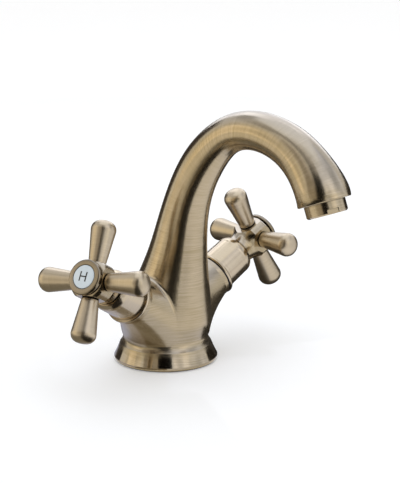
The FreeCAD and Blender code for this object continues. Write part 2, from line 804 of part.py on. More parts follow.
def spindle_clip(side):
    """Open clip in the spindle's groove, above the headwork."""
    body = new_body(f"{side}_spindle_clip", handle_place(side))
    foot = f"{CLIP_FOOT} + seat_gap"
    ring(body, f"{side}_clip_hoop", "spindle_radius - clip_depth + seat_gap", "clip_radius", foot,
         f"{foot} + clip_height")
    corner = place("0", "-clip_mouth / 2", f"{foot} - clip_height")
    primitive(body, f"{side}_clip_mouth", "SubtractiveBox",
              {"Length": "2 * clip_radius", "Width": "clip_mouth", "Height": "3 * clip_height"}, corner)


def handle_hub(side):
    """Turned hub with four milled flats for the arms, a drive socket and a counterbored front."""
    body = new_body(f"{side}_handle_hub", handle_place(side))
    shoulder = "hub_front - hub_shoulder_depth"
    turned(body, f"{side}_hub_blank", [
        ("0", HUB_FOOT),
        ("hub_foot_radius", HUB_FOOT),
        ("hub_radius", f"{HUB_FOOT} + hub_flare_height", "hub_flare_bend", RIGHT),
        ("hub_radius", shoulder),
        ("hub_front_radius", "hub_front", "hub_front_bend", LEFT),
        ("0", "hub_front"),
    ])
    flat = primitive(body, f"{side}_hub_flat", "SubtractiveBox", {
        "Length": "hub_radius",
        "Width": "3 * hub_radius",
        "Height": f"hub_front - {HUB_FOOT}",
    }, place("hub_flats / 2", "-1.5 * hub_radius", HUB_FOOT))
    patterned(body, f"{side}_hub_flats", [flat], 4)
    tapping = primitive(body, f"{side}_arm_tapping", "SubtractiveCylinder", {
        "Radius": "arm_stud_radius + seat_gap",
        "Height": "hub_radius",
    }, place("hub_flats / 2 - arm_stud_length - seat_gap", "0", "arm_plane", pitch="90"))
    patterned(body, f"{side}_arm_tappings", [tapping], 4)
    socket = "spindle_square + 2 * seat_gap"
    box(body, f"{side}_drive_socket", "Subtractive", socket, socket,
        f"{SPINDLE_TOP} + seat_gap - bonnet_top", "bonnet_top")
    turned(body, f"{side}_hub_counterbore", [
        ("0", "bonnet_top"),
        ("screw_radius + thread_clearance", "bonnet_top"),
        ("screw_radius + thread_clearance", SCREW_SEAT),
        ("screw_head_radius + screw_head_room", SCREW_SEAT),
        ("screw_head_radius + screw_head_room", "hub_front - bezel_spigot_length - seat_gap"),
        ("bezel_spigot_radius + seat_gap", "hub_front - bezel_spigot_length - seat_gap"),
        ("bezel_spigot_radius + seat_gap", "hub_front + hub_web"),
        ("0", "hub_front + hub_web"),
    ], cut=True)


def handle_arm(side, name, angle):
    """Turned arm that swells to a rounded end, with a stud screwed into one of the hub's flats."""
    radial = f"{handle_place(side)} * {place(z='arm_plane', yaw=angle, pitch='90')}"
    body = new_body(f"{side}_arm_{name}", radial)
    root = "(hub_flats / 2 + seat_gap)"
    rim = "arm_reach - (arm_cap_bend - sqrt(arm_cap_bend^2 - arm_end_radius^2))"
    blank = turned(body, f"{side}_arm_{name}_blank", [
        ("0", "hub_flats / 2 - arm_stud_length"),
        ("arm_stud_radius", "hub_flats / 2 - arm_stud_length"),
        ("arm_stud_radius", root),
        ("arm_root_radius - arm_joint_depth", root),
        ("arm_root_radius", f"{root} + arm_joint_depth"),
        ("arm_end_radius", rim),
        ("0", "arm_reach", "arm_cap_bend", LEFT),
    ])
    height, on_radius = value(rim), at_distance(value("arm_end_radius"))
    edges = edges_where(blank, lambda point: abs(point.z - height) < 0.01 and on_radius(point))
    rounded(body, f"{side}_arm_{name}_end", blank, edges, "arm_end_fillet")


def handle_screw(side):
    """Slotted screw that holds the hub on the spindle, under the index."""
    body = new_body(f"{side}_handle_screw", handle_place(side))
    seat = f"({SCREW_SEAT} + seat_gap)"
    turned(body, f"{side}_screw_blank", [
        ("0", f"{seat} - screw_length"),
        ("screw_radius", f"{seat} - screw_length"),
        ("screw_radius", seat),
        ("screw_head_radius", seat),
        ("screw_head_radius", f"{seat} + screw_head_height"),
        ("0", f"{seat} + screw_head_height"),
    ])
    box(body, f"{side}_screw_slot", "Subtractive", "3 * screw_head_radius", "screw_slot_width",
        "2 * screw_slot_depth", f"{seat} + screw_head_height - screw_slot_depth")


def index_bezel(side):
    """Turned rim on a short neck, pushed into the hub's front, dished round the button."""
    pocket = "button_radius + thread_clearance"
    turned(new_body(f"{side}_index_bezel", handle_place(side)), f"{side}_bezel_blank", [
        ("0", "hub_front - bezel_spigot_length"),
        ("bezel_spigot_radius", "hub_front - bezel_spigot_length"),
        ("bezel_spigot_radius", "hub_front + seat_gap"),
        ("bezel_neck_radius", "hub_front + seat_gap"),
        ("bezel_neck_radius", "hub_front + bezel_neck_height"),
        ("bezel_radius", "hub_front + bezel_neck_height"),
        ("bezel_radius", "bezel_front - bezel_edge"),
        ("bezel_radius - bezel_edge", "bezel_front", "bezel_edge", LEFT),
        (pocket, "bezel_front - bezel_dish"),
        (pocket, "bezel_front - button_depth"),
        ("0", "bezel_front - button_depth"),
    ])


def index_button(side):
    """Glazed button with a low dome."""
    foot = "bezel_front - button_depth + seat_gap"
    turned(new_body(f"{side}_index_button", handle_place(side)), f"{side}_button_blank", [
        ("0", foot),
        ("button_radius", foot),
        ("button_radius", "bezel_front - bezel_dish"),
        ("0", "bezel_front - bezel_dish + button_dome",
         "(button_radius^2 + button_dome^2) / (2 * button_dome)", LEFT),
    ])


# Angle of each arm round the valve axis; the two frames have their Y axes opposite ways round.
ARM_ANGLES = {
    "hot": {"bottom": "0", "front": "90", "top": "180", "back": "270"},
    "cold": {"bottom": "0", "back": "90", "top": "180", "front": "270"},
}


def valve_and_handle(side):
    for piece in (bonnet, bonnet_seal, headwork, headwork_washer, seat_seal, fixed_disc, turning_disc, spindle,
                  spindle_rings, spindle_clip, handle_hub, handle_screw, index_bezel, index_button):
        piece(side)
    for name, angle in ARM_ANGLES[side].items():
        handle_arm(side, name, angle)


def sub_parts():
    """The finished pieces: every body, and the groups of rings."""
    kinds = ("PartDesign::Body", "Part::Compound")
    return [item for item in DOC.Objects if item.TypeId in kinds]


def check():
    for item in DOC.Objects:
        if "Invalid" in item.State or "Error" in item.State:
            raise RuntimeError(f"{item.Name} failed: {item.State}")
    for item in sub_parts():
        if item.Shape.isNull() or not item.Shape.isValid():
            raise RuntimeError(f"{item.Label} has no valid shape")


def main():
    body_casting()
    for piece in (foot_seal, aerator_housing, aerator_cartridge, aerator_screen, aerator_washer):
        piece()
    for side in SIDES:
        valve_and_handle(side)
    DOC.recompute()
    check()
    os.makedirs("parts", exist_ok=True)
    for item in sub_parts():
        item.Shape.exportStep(f"parts/{item.Label}.step")
        print(f"{item.Label}: {len(item.Shape.Solids)} solid(s), {item.Shape.Volume:.1f} mm3")


main()
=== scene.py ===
import json
import math

import bmesh
import bpy
from mathutils import Matrix, Vector


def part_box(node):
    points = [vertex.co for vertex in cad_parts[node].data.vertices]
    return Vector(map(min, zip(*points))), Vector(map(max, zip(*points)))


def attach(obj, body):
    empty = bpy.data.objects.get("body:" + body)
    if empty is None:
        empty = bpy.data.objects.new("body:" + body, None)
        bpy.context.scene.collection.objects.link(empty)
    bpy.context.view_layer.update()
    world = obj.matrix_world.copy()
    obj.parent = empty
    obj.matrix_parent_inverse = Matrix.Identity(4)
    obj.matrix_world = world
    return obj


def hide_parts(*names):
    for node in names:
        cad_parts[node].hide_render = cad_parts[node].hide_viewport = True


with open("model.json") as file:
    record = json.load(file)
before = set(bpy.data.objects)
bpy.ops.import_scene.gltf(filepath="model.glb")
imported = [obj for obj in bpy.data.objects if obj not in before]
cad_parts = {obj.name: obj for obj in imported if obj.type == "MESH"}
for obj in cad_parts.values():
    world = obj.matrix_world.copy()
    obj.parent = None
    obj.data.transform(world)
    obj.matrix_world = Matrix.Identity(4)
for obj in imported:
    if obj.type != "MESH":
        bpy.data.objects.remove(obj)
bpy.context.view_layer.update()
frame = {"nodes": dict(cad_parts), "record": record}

MM = 0.001
UP = Vector((0, 0, 1))
NODES = frame["nodes"]
JOINTS = {joint["name"]: joint for joint in frame["record"]["behaviour"]["joints"]}
SIDES = ("hot", "cold")
ARMS = ("top", "front", "bottom", "back")


# Camera: where the photograph was taken from, found by fitting the foot, handles and spout.
IMAGE_WIDTH, IMAGE_HEIGHT = 400, 483
CAMERA_AZIMUTH = math.radians(49.74)
CAMERA_ELEVATION = math.radians(13.67)
CAMERA_DISTANCE = 803.69 * MM
CAMERA_TARGET = Vector((0, 0, 70 * MM))
CAMERA_SLIDE = (-20.59 * MM, 11.65 * MM)
FOCAL_PIXELS = 1625.23
IMAGE_CENTRE = (206.6, 245.46)
SENSOR = 36.0


def add_camera():
    """The photograph's camera; returns the way from the part to it."""
    back = Vector((
        -math.sin(CAMERA_AZIMUTH) * math.cos(CAMERA_ELEVATION),
        -math.cos(CAMERA_AZIMUTH) * math.cos(CAMERA_ELEVATION),
        math.sin(CAMERA_ELEVATION),
    ))
    right = Vector((math.cos(CAMERA_AZIMUTH), -math.sin(CAMERA_AZIMUTH), 0))
    up = back.cross(right)
    data = bpy.data.cameras.new("photo_camera")
    data.sensor_width = SENSOR
    data.lens = FOCAL_PIXELS * SENSOR / IMAGE_HEIGHT
    data.shift_x = -(IMAGE_CENTRE[0] - IMAGE_WIDTH / 2) / IMAGE_HEIGHT
    data.shift_y = (IMAGE_CENTRE[1] - IMAGE_HEIGHT / 2) / IMAGE_HEIGHT
    camera = bpy.data.objects.new("photo_camera", data)
    place = CAMERA_TARGET + back * CAMERA_DISTANCE - right * CAMERA_SLIDE[0] - up * CAMERA_SLIDE[1]
    camera.matrix_world = Matrix.Translation(place) @ Matrix((right, up, back)).transposed().to_4x4()
    bpy.context.scene.collection.objects.link(camera)
    bpy.context.scene.camera = camera
    return back


CREVICE_SAMPLES = 8
# A Mix node has a set of sockets for each kind of data, so the ones for colours go by number.
MIX_FACTOR, MIX_FIRST, MIX_SECOND, MIX_RESULT = 0, 6, 7, 2


class Value:
    """A socket of a node tree, with arithmetic that adds Math nodes."""

    def __init__(self, tree, socket):
        self.tree = tree
        self.socket = socket

    def maths(self, operation, *others):
        inputs = dict(enumerate((self, *others)))
        return self.tree.node("ShaderNodeMath", {"operation": operation}, inputs)

    def __add__(self, other):
        return self.maths("ADD", other)

    def __sub__(self, other):
        return self.maths("SUBTRACT", other)

    def __mul__(self, other):
        return self.maths("MULTIPLY", other)

    def __rsub__(self, other):
        return self.tree.node("ShaderNodeMath", {"operation": "SUBTRACT"}, {0: other, 1: self})

    __radd__ = __add__


class Finish:
    """One material's node tree."""

    def __init__(self, name):
        self.material = bpy.data.materials.new(name)
        self.material.use_nodes = True
        self.nodes = self.material.node_tree.nodes
        self.links = self.material.node_tree.links
        self.nodes.clear()

    def node(self, kind, settings=None, inputs=None, output=0):
        """Add a node: its settings come first, then the values or links of its sockets."""
        made = self.nodes.new(kind)
        for name, setting in (settings or {}).items():
            setattr(made, name, setting)
        for key, given in (inputs or {}).items():
            if isinstance(given, Value):
                self.links.new(given.socket, made.inputs[key])
            else:
                made.inputs[key].default_value = given
        return Value(self, made.outputs[output]) if made.outputs else made

    def place(self):
        """Object coordinates, in metres of the shared frame."""
        return self.node("ShaderNodeTexCoord", output="Object")

    def axes(self, vector):
        split = self.node("ShaderNodeSeparateXYZ", inputs={0: vector})
        return [Value(self, socket) for socket in split.socket.node.outputs]

    def vector(self, x, y, z):
        return self.node("ShaderNodeCombineXYZ", inputs={0: x, 1: y, 2: z})

    def noise(self, vector, scale, detail=2.0, roughness=0.5):
        inputs = {"Vector": vector, "Scale": scale, "Detail": detail, "Roughness": roughness}
        return self.node("ShaderNodeTexNoise", inputs=inputs)

    def fade(self, value, low, high):
        """0 below low, 1 above high, smooth between."""
        settings = {"interpolation_type": "SMOOTHSTEP"}
        return self.node("ShaderNodeMapRange", settings, {"Value": value, "From Min": low, "From Max": high})

    def mix(self, factor, first, second):
        inputs = {MIX_FACTOR: factor, MIX_FIRST: first, MIX_SECOND: second}
        return self.node("ShaderNodeMix", {"data_type": "RGBA"}, inputs, output=MIX_RESULT)

    def crevice(self, distance):
        """0 in the open, up to 1 deep in a corner."""
        settings = {"samples": CREVICE_SAMPLES}
        return 1.0 - self.node("ShaderNodeAmbientOcclusion", settings, {"Distance": distance}, output="AO")

    def bump(self, height, depth, strength):
        inputs = {"Height": height, "Distance": depth, "Strength": strength}
        return self.node("ShaderNodeBump", inputs=inputs)

    def surface(self, **inputs):
        """Principled surface; names are the sockets' names with underscores."""
        named = {name.replace("_", " "): given for name, given in inputs.items()}
        shader = self.node("ShaderNodeBsdfPrincipled", inputs=named)
        self.node("ShaderNodeOutputMaterial", inputs={"Surface": shader})
        return self.material


def colour(red, green, blue):
    return red, green, blue, 1.0


# Aged brass. Noise scales and brush lines are per metre, and a fade runs from its first value to its second.
OLIVE_BRASS = colour(0.415, 0.32, 0.172)
RUBBED_BRASS = colour(0.555, 0.442, 0.28)
# Painted highlight: faces that point up are painted towards this paler grey, as cool light from above shows
# them.
TOP_HIGHLIGHT_BRASS = colour(0.435, 0.402, 0.365)
WORN_BRASS = colour(0.66, 0.54, 0.37)
# Crevices are painted towards this dark as painted shade, and an aged piece is darkened evenly towards it.
DARK_AGE_AND_SHADE = colour(0.03, 0.02, 0.011)
CLOUD_SCALE = 45.0
CLOUD_MEAN = 0.5
RUBBED_BY_STREAKS, RUBBED_BY_CLOUD = 0.6, 0.4
RUBBED_FADE = (0.31, 0.69)
# How ragged, where it fades in and how strong the painted highlight on upward faces is.
TOP_HIGHLIGHT_RAGGED = 0.3
TOP_HIGHLIGHT_FADE = (0.2, 0.9)
TOP_HIGHLIGHT_SHARE = 0.7
WORN_BY_CLOUD, WORN_EVENLY = 0.4, 0.8
# Painted shade in crevices: how far the occlusion reaches, how ragged its edge is, where it fades in and how
# much of it shows.
CREVICE_SHADE_REACH = 1.6 * MM
CREVICE_SHADE_RAGGED = 0.15
CREVICE_SHADE_FADE = (0.25, 0.75)
CREVICE_SHADE_COVER = 0.92
STREAK_ROUGHNESS, CREVICE_ROUGHNESS = 0.05, 0.25
STREAK_STRENGTH = 0.5
BRASS_COAT, BRASS_COAT_ROUGHNESS = 0.25, 0.2

# On each kind of piece: the least roughness, the depth of the brushing, and how worn or dark it is.
TURNED_SATIN, TURNED_RELIEF = 0.17, 0.02 * MM
ARM_SATIN, ARM_RELIEF = 0.3, 0.005 * MM
FOOT_SATIN, CASTING_RELIEF = 0.08, 0.05 * MM
TORSO_DULLER, TORSO_FADE = 0.14, (5.5 * MM, 8.5 * MM)
NECK_BRIGHTER, NECK_FADE = 0.04, (28 * MM, 52 * MM)
ARM_WEAR, BONNET_WEAR, BEZEL_AGE = 0.5, 0.6, 0.42


def casting_satin(finish, place):
    """The foot is polished, the torso satin and the neck between them."""
    height = finish.axes(place)[2]
    duller = finish.fade(height, *TORSO_FADE) * TORSO_DULLER
    return FOOT_SATIN + duller - finish.fade(height, *NECK_FADE) * NECK_BRIGHTER


def aged_brass(name, streak_places, satin=TURNED_SATIN, relief=TURNED_RELIEF, age=0.0, wear=0.0):
    """Brushed brass, darker with age, with painted shade in crevices and a painted highlight on upward faces;
    each streak place is (vector across the brushing, weight).
    """
    finish = Finish(name)
    place = finish.place()
    lines = [
        finish.noise(vector, 1.0, detail=3.0, roughness=0.6) * weight
        for vector, weight in streak_places(finish, place)
    ]
    streaks = sum(lines[1:], lines[0])
    cloud = finish.noise(place, CLOUD_SCALE)
    ragged = cloud - CLOUD_MEAN
    rubbed = finish.fade(streaks * RUBBED_BY_STREAKS + cloud * RUBBED_BY_CLOUD, *RUBBED_FADE)
    metal = finish.mix(rubbed, OLIVE_BRASS, RUBBED_BRASS)
    # Painted highlight: the colour turns paler and greyer on faces that point up.
    upward = finish.axes(finish.node("ShaderNodeNewGeometry", output="Normal"))[2]
    top_highlight = finish.fade(upward + ragged * TOP_HIGHLIGHT_RAGGED, *TOP_HIGHLIGHT_FADE) * TOP_HIGHLIGHT_SHARE
    metal = finish.mix(top_highlight, metal, TOP_HIGHLIGHT_BRASS)
    if wear:
        metal = finish.mix((cloud * WORN_BY_CLOUD + WORN_EVENLY) * wear, metal, WORN_BRASS)
    # Painted shade: the colour darkens where ambient occlusion finds a crevice, and age darkens the whole
    # piece evenly.
    crevice_shade = finish.fade(finish.crevice(CREVICE_SHADE_REACH) + ragged * CREVICE_SHADE_RAGGED, *CREVICE_SHADE_FADE)
    least = satin(finish, place) if callable(satin) else satin
    return finish.surface(
        Base_Color=finish.mix(crevice_shade * (CREVICE_SHADE_COVER - age) + age, metal, DARK_AGE_AND_SHADE),
        Metallic=1.0,
        Roughness=streaks * STREAK_ROUGHNESS + crevice_shade * CREVICE_ROUGHNESS + least,
        Coat_Weight=BRASS_COAT,
        Coat_Roughness=BRASS_COAT_ROUGHNESS,
        Normal=finish.bump(streaks, relief, STREAK_STRENGTH),
    )


# Brushing: lines across the torso, which lean with it, lines per radian round the swan neck's bend, and
# lines along a turned piece. A low number is a long stroke.
BEND_Y, BEND_Z = -49 * MM, 78 * MM
BEND_FADE = (70 * MM, 92 * MM)
CASTING_STROKE = 60.0
LEVEL_LINES, LEVEL_LEAN = 2600.0, 260.0
BEND_LINES, BEND_DRIFT = 115.0, 10.0
TURNED_LINES = (70, 70, 1900)


def round_the_neck(finish, place):
    """Brush lines level on the torso and square to the tube over the bend."""
    x, y, z = finish.axes(place)
    across = x * CASTING_STROKE
    level = finish.vector(across, z * LEVEL_LINES - y * LEVEL_LEAN, y * CASTING_STROKE)
    turn = (z - BEND_Z).maths("ARCTAN2", y * -1.0 + BEND_Y)
    bent = finish.vector(across, turn * BEND_LINES, z * BEND_DRIFT)
    upper = finish.fade(z, *BEND_FADE)
    return [(level, 1.0 - upper), (bent, upper)]


def along(axis, centre):
    """Turned brushing round an axis: lines close together along it and long across it."""
    turn = Vector(axis).to_track_quat("Z", "Y").inverted().to_euler()
    shift = turn.to_matrix() @ -Vector(centre)

    def streak_places(finish, place):
        local = finish.node("ShaderNodeMapping", inputs={"Vector": place, "Location": shift, "Rotation": turn})
        inputs = {0: local, 1: TURNED_LINES}
        return [(finish.node("ShaderNodeVectorMath", {"operation": "MULTIPLY"}, inputs), 1.0)]

    return streak_places


# Small inner pieces, by material slot: name, tint, metallic, least roughness, grain per metre and relief.
PLAIN_FINISHES = {
    "black_rubber": ("black_rubber", (0.025, 0.025, 0.025), 0.0, 0.55, 900.0, 0.02 * MM),
    "stainless_steel": ("satin_steel", (0.55, 0.55, 0.54), 1.0, 0.25, 1500.0, 0.01 * MM),
    "machined_brass": ("machined_brass", (0.68, 0.5, 0.22), 1.0, 0.2, 1200.0, 0.01 * MM),
    "disc_ceramic": ("lapped_ceramic", (0.82, 0.8, 0.75), 0.0, 0.3, 1800.0, 0.01 * MM),
    "white_plastic": ("cartridge_plastic", (0.75, 0.75, 0.72), 0.0, 0.4, 700.0, 0.01 * MM),
}
LETTER_ENAMEL = ("letter_enamel", (0.022, 0.02, 0.018), 0.0, 0.15, 1500.0, 0.005 * MM)
PLAIN_SHADE = 0.7
PLAIN_DULLER = 0.2
PLAIN_STRENGTH = 0.4


def plain(name, tint, metallic, roughness, grain, relief):
    """One tint with a fine grain in colour, gloss and relief."""
    finish = Finish(name)
    speck = finish.noise(finish.place(), grain, detail=3.0)
    shade = colour(*(channel * PLAIN_SHADE for channel in tint))
    return finish.surface(
        Base_Color=finish.mix(speck, shade, colour(*tint)),
        Metallic=metallic,
        Roughness=speck * PLAIN_DULLER + roughness,
        Normal=finish.bump(speck, relief, PLAIN_STRENGTH),
    )


GLAZE_SHADE = colour(0.55, 0.62, 0.65)
GLAZE_LIGHT = colour(0.64, 0.70, 0.72)
# Painted shade: the glaze greys towards this where it meets the bezel.
RIM_SHADE_GREY = colour(0.3, 0.31, 0.3)
RIM_SHADE_REACH = 2.5 * MM
GLAZE_CLOUD_SCALE = 260.0
GLAZE_ROUGHNESS, GLAZE_DULLER = 0.12, 0.06
GLAZE_COAT, GLAZE_COAT_ROUGHNESS = 0.6, 0.04
GLAZE_RELIEF, GLAZE_STRENGTH = 0.05 * MM, 0.3


def porcelain():
    """White glaze with a cool cast, greyer at its rim as painted shade where it meets the bezel."""
    finish = Finish("porcelain_glaze")
    cloud = finish.noise(finish.place(), GLAZE_CLOUD_SCALE)
    glaze = finish.mix(cloud, GLAZE_SHADE, GLAZE_LIGHT)
    return finish.surface(
        # Painted shade at the rim, found by ambient occlusion against the bezel.
        Base_Color=finish.mix(finish.crevice(RIM_SHADE_REACH), glaze, RIM_SHADE_GREY),
        Roughness=GLAZE_ROUGHNESS + cloud * GLAZE_DULLER,
        Coat_Weight=GLAZE_COAT,
        Coat_Roughness=GLAZE_COAT_ROUGHNESS,
        Normal=finish.bump(cloud, GLAZE_RELIEF, GLAZE_STRENGTH),
    )


def dress(node, material):
    slots = NODES[node].material_slots
    if not slots:
        NODES[node].data.materials.append(material)
    for slot in slots:
        slot.material = material


def side_axis(side):
    """Direction of a handle's turning axis and a point on it."""
    joint = JOINTS[f"{side}_turn"]
    return Vector(joint["axis"]), Vector(joint["pos_m"])


def middle(node):
    low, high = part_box(node)
    return (Vector(low) + Vector(high)) / 2


AERATOR_AXIS = (0, -0.337, -0.941)


def dress_all(glaze):
    """A finish on every node of the solids."""
    dress("body_casting", aged_brass("casting_brass", round_the_neck, casting_satin, CASTING_RELIEF))
    dress("aerator_housing", aged_brass("aerator_brass", along(AERATOR_AXIS, middle("aerator_housing"))))
    by_slot = {slot: plain(*row) for slot, row in PLAIN_FINISHES.items()}
    by_slot["porcelain"] = glaze
    for part in frame["record"]["subparts"]:
        if part["material_slot"] in by_slot:
            dress(part["node"], by_slot[part["material_slot"]])
    for side in SIDES:
        axis, root = side_axis(side)
        turned = aged_brass(f"{side}_turned_brass", along(axis, root))
        for piece in ("handle_hub", "index_bezel"):
            dress(f"{side}_{piece}", turned)
        dress(f"{side}_bonnet", aged_brass(f"{side}_bonnet_brass", along(axis, root), wear=BONNET_WEAR))
        hub = middle(f"{side}_handle_hub")
        for arm in ARMS:
            node = f"{side}_arm_{arm}"
            outward = middle(node) - hub
            outward -= axis * outward.dot(axis)
            brushing = along(outward, middle(node))
            dress(node, aged_brass(f"{node}_brass", brushing, ARM_SATIN, ARM_RELIEF, wear=ARM_WEAR))


# Turned pieces on each handle's face: radius and reach along the valve's axis, in millimetres, and for a
# rounded ring of edges its radius, reach and the size of the round.
TURNED_STEPS = 96
ROUND_SEGMENTS = 6
RING_TOLERANCE = 0.01 * MM
MERGE_DISTANCE = 0.001 * MM
SHARP_EDGE = math.radians(35)
BEZEL_PROFILE = ((5.85, 74.05), (5.85, 76.9), (8.65, 76.9), (8.65, 74.85), (6.9, 74.85), (6.9, 74.05))
BEZEL_ROUNDS = ((8.65, 76.9, 1.0), (8.65, 74.85, 0.35), (5.85, 76.9, 0.2))
CAP_CROWN = 77.5
CAP_DOME_RADIUS = 34.0
CAP_EDGE_RADIUS = 5.65
CAP_BASE = 75.4
CAP_STEPS = 8
CAP_EDGE_ROUND = 0.35
LETTERS = {"hot": "H", "cold": "C"}
LETTER_HEIGHT = 4.6
LETTER_CUT = 0.5
LETTER_PROUD = 0.05
LETTER_DEPTH = 0.25
LETTER_MERGE = 1e-5


def cap_height(radius):
    """Reach of the domed cap's face at a distance from its middle."""
    return CAP_CROWN - CAP_DOME_RADIUS + math.sqrt(CAP_DOME_RADIUS ** 2 - radius ** 2)


def lies_at(vert, radius, height):
    off_radius = abs(vert.co.xy.length - radius * MM)
    off_height = abs(vert.co.z - height * MM)
    return off_radius < RING_TOLERANCE and off_height < RING_TOLERANCE


def turned_shape(profile, closed, rounds):
    """A shape turned round the Z axis, with each named ring of edges rounded."""
    shape = bmesh.new()
    points = [shape.verts.new((radius * MM, 0, height * MM)) for radius, height in profile]
    nexts = points[1:] + points[:1] if closed else points[1:]
    edges = [shape.edges.new(pair) for pair in zip(points, nexts)]
    bmesh.ops.spin(
        shape, geom=points + edges, cent=(0, 0, 0), axis=(0, 0, 1),
        angle=math.tau, steps=TURNED_STEPS, use_merge=True,
    )
    bmesh.ops.remove_doubles(shape, verts=shape.verts, dist=MERGE_DISTANCE)
    bmesh.ops.recalc_face_normals(shape, faces=shape.faces)
    for radius, height, offset in rounds:
        ring = [edge for edge in shape.edges if all(lies_at(vert, radius, height) for vert in edge.verts)]
        bmesh.ops.bevel(
            shape, geom=ring, offset=offset * MM, offset_type="OFFSET",
            affect="EDGES", segments=ROUND_SEGMENTS, profile=0.5, material=-1,
        )
    return shape


def letter_shape(character):
    """A flat letter cut into small cells, laid on the cap's dome and given a thickness."""
    text = bpy.data.curves.new("letter", "FONT")
    text.body = character
    holder = bpy.data.objects.new("letter", text)
    flat = bpy.data.meshes.new_from_object(holder)
    shape = bmesh.new()
    shape.from_mesh(flat)
    bpy.data.objects.remove(holder)
    bpy.data.curves.remove(text)
    bpy.data.meshes.remove(flat)
    bmesh.ops.remove_doubles(shape, verts=shape.verts, dist=LETTER_MERGE)
    low = Vector(min(vert.co[axis] for vert in shape.verts) for axis in range(3))
    high = Vector(max(vert.co[axis] for vert in shape.verts) for axis in range(3))
    bmesh.ops.translate(shape, verts=shape.verts, vec=-(low + high) / 2)
    size = LETTER_HEIGHT * MM / (high.y - low.y)
    bmesh.ops.scale(shape, verts=shape.verts, vec=(size, size, size))
    cuts = int(LETTER_HEIGHT / LETTER_CUT)
    for way in (Vector((1, 0, 0)), Vector((0, 1, 0))):
        for step in range(-cuts, cuts + 1):
            whole = shape.verts[:] + shape.edges[:] + shape.faces[:]
            cut = way * step * LETTER_CUT * MM / 2
            bmesh.ops.bisect_plane(shape, geom=whole, plane_co=cut, plane_no=way)
    for vert in shape.verts:
        vert.co.z = (cap_height(vert.co.xy.length / MM) + LETTER_PROUD) * MM
    bmesh.ops.recalc_face_normals(shape, faces=shape.faces)
    if sum(face.normal.z for face in shape.faces) < 0:
        bmesh.ops.reverse_faces(shape, faces=shape.faces)
    bmesh.ops.solidify(shape, geom=shape.faces[:], thickness=LETTER_DEPTH * MM)
    return shape


def face_place(side):
    """Where a shape turned round Z goes: Z along the valve's axis, Y as near upright as it can be."""
    axis, root = side_axis(side)
    outward = axis if (middle(f"{side}_handle_hub") - root).dot(axis) > 0 else -axis
    up = (UP - outward * outward.z).normalized()
    right = up.cross(outward)
    return Matrix.Translation(root) @ Matrix((right, up, outward)).transposed().to_4x4()


def add_object(name, shape, material):
    """An object at the origin, from a shape that is then used up."""
    mesh = bpy.data.meshes.new(name)
    shape.to_mesh(mesh)
    shape.free()
    mesh.materials.append(material)
    made = bpy.data.objects.new(name, mesh)
    bpy.context.scene.collection.objects.link(made)
    return made


def add_piece(name, shape, side, material, node=None):
    """A piece of one handle's face, in the place of a node where one is given."""
    bmesh.ops.transform(shape, matrix=face_place(side), verts=shape.verts)
    for face in shape.faces:
        face.smooth = True
    for edge in shape.edges:
        edge.smooth = edge.calc_face_angle(0) < SHARP_EDGE
    piece = add_object(name, shape, material)
    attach(piece, f"{side}_handle")
    if node:
        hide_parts(node)


def add_handle_faces(glaze):
    """On each handle a rounded bezel, a domed porcelain cap and its letter."""
    enamel = plain(*LETTER_ENAMEL)
    radii = [CAP_EDGE_RADIUS * step / CAP_STEPS for step in range(CAP_STEPS + 1)]
    cap_profile = [(radius, cap_height(radius)) for radius in radii]
    cap_profile += [(CAP_EDGE_RADIUS, CAP_BASE), (0, CAP_BASE)]
    cap_rounds = [(CAP_EDGE_RADIUS, cap_height(CAP_EDGE_RADIUS), CAP_EDGE_ROUND)]
    for side in SIDES:
        brass = aged_brass(f"{side}_bezel_brass", along(*side_axis(side)), age=BEZEL_AGE)
        bezel = turned_shape(BEZEL_PROFILE, True, BEZEL_ROUNDS)
        add_piece(f"{side}_bezel_rim", bezel, side, brass, f"{side}_index_bezel")
        cap = turned_shape(cap_profile, False, cap_rounds)
        add_piece(f"{side}_porcelain_cap", cap, side, glaze, f"{side}_index_button")
        add_piece(f"{side}_letter", letter_shape(LETTERS[side]), side, enamel)


WHITE = colour(1, 1, 1)
WORLD_STRENGTH = 0.85
FLOOR_SIZE = 60.0
FLOOR_SHADE = colour(0.9, 0.9, 0.9)
FLOOR_LIGHT = colour(0.93, 0.93, 0.93)
FLOOR_GRAIN = 40.0
FLOOR_ROUGHNESS = 0.8
FLOOR_GLOW = 0.2
BOX_SIZE = (1.5, 1.1)
BOX_DISTANCE = 1.0
BOX_ELEVATION = math.radians(72)
BOX_RADIANCE = 0.44
BOX_COLOUR = (0.74, 0.84, 1.0)

# Studio sheets that only the metal's reflections show. Angles in degrees: round from the camera's side,
# to its right, and up from the level. The last value is the sheet's colour. Later sheets hang in front.
STANDING_SHEETS = (
    ("front_dark_low", -20, 11, -4, 14, (0.006, 0.005, 0.004)),
    ("front_dark_high", -22, 15, 14, 50, (0.004, 0.0035, 0.003)),
    ("front_grey", -56, -20, -4, 42, (0.44, 0.41, 0.38)),
    ("front_top_grey", -66, 12, 50, 60, (0.42, 0.41, 0.40)),
    ("left_gold", -106, -62, -4, 38, (0.88, 0.84, 0.77)),
    ("left_top_grey", -150, -66, 44, 60, (0.58, 0.57, 0.56)),
    ("left_rear_dark", -168, -120, -4, 30, (0.06, 0.05, 0.045)),
    ("right_rear_dark", 114, 168, -4, 16, (0.03, 0.026, 0.022)),
    ("right_cool", 15, 112, -4, 60, (0.84, 0.89, 1.03)),
    ("rear_white", 138, 210, 16, 64, (1.75, 1.80, 1.95)),
    ("left_core", -97, -77, -2, 27, (1.36, 1.25, 1.06)),
    ("right_core", 32, 60, -2, 24, (1.18, 1.20, 1.28)),
    ("right_high_core", 20, 60, 20, 48, (1.10, 1.14, 1.27)),
)
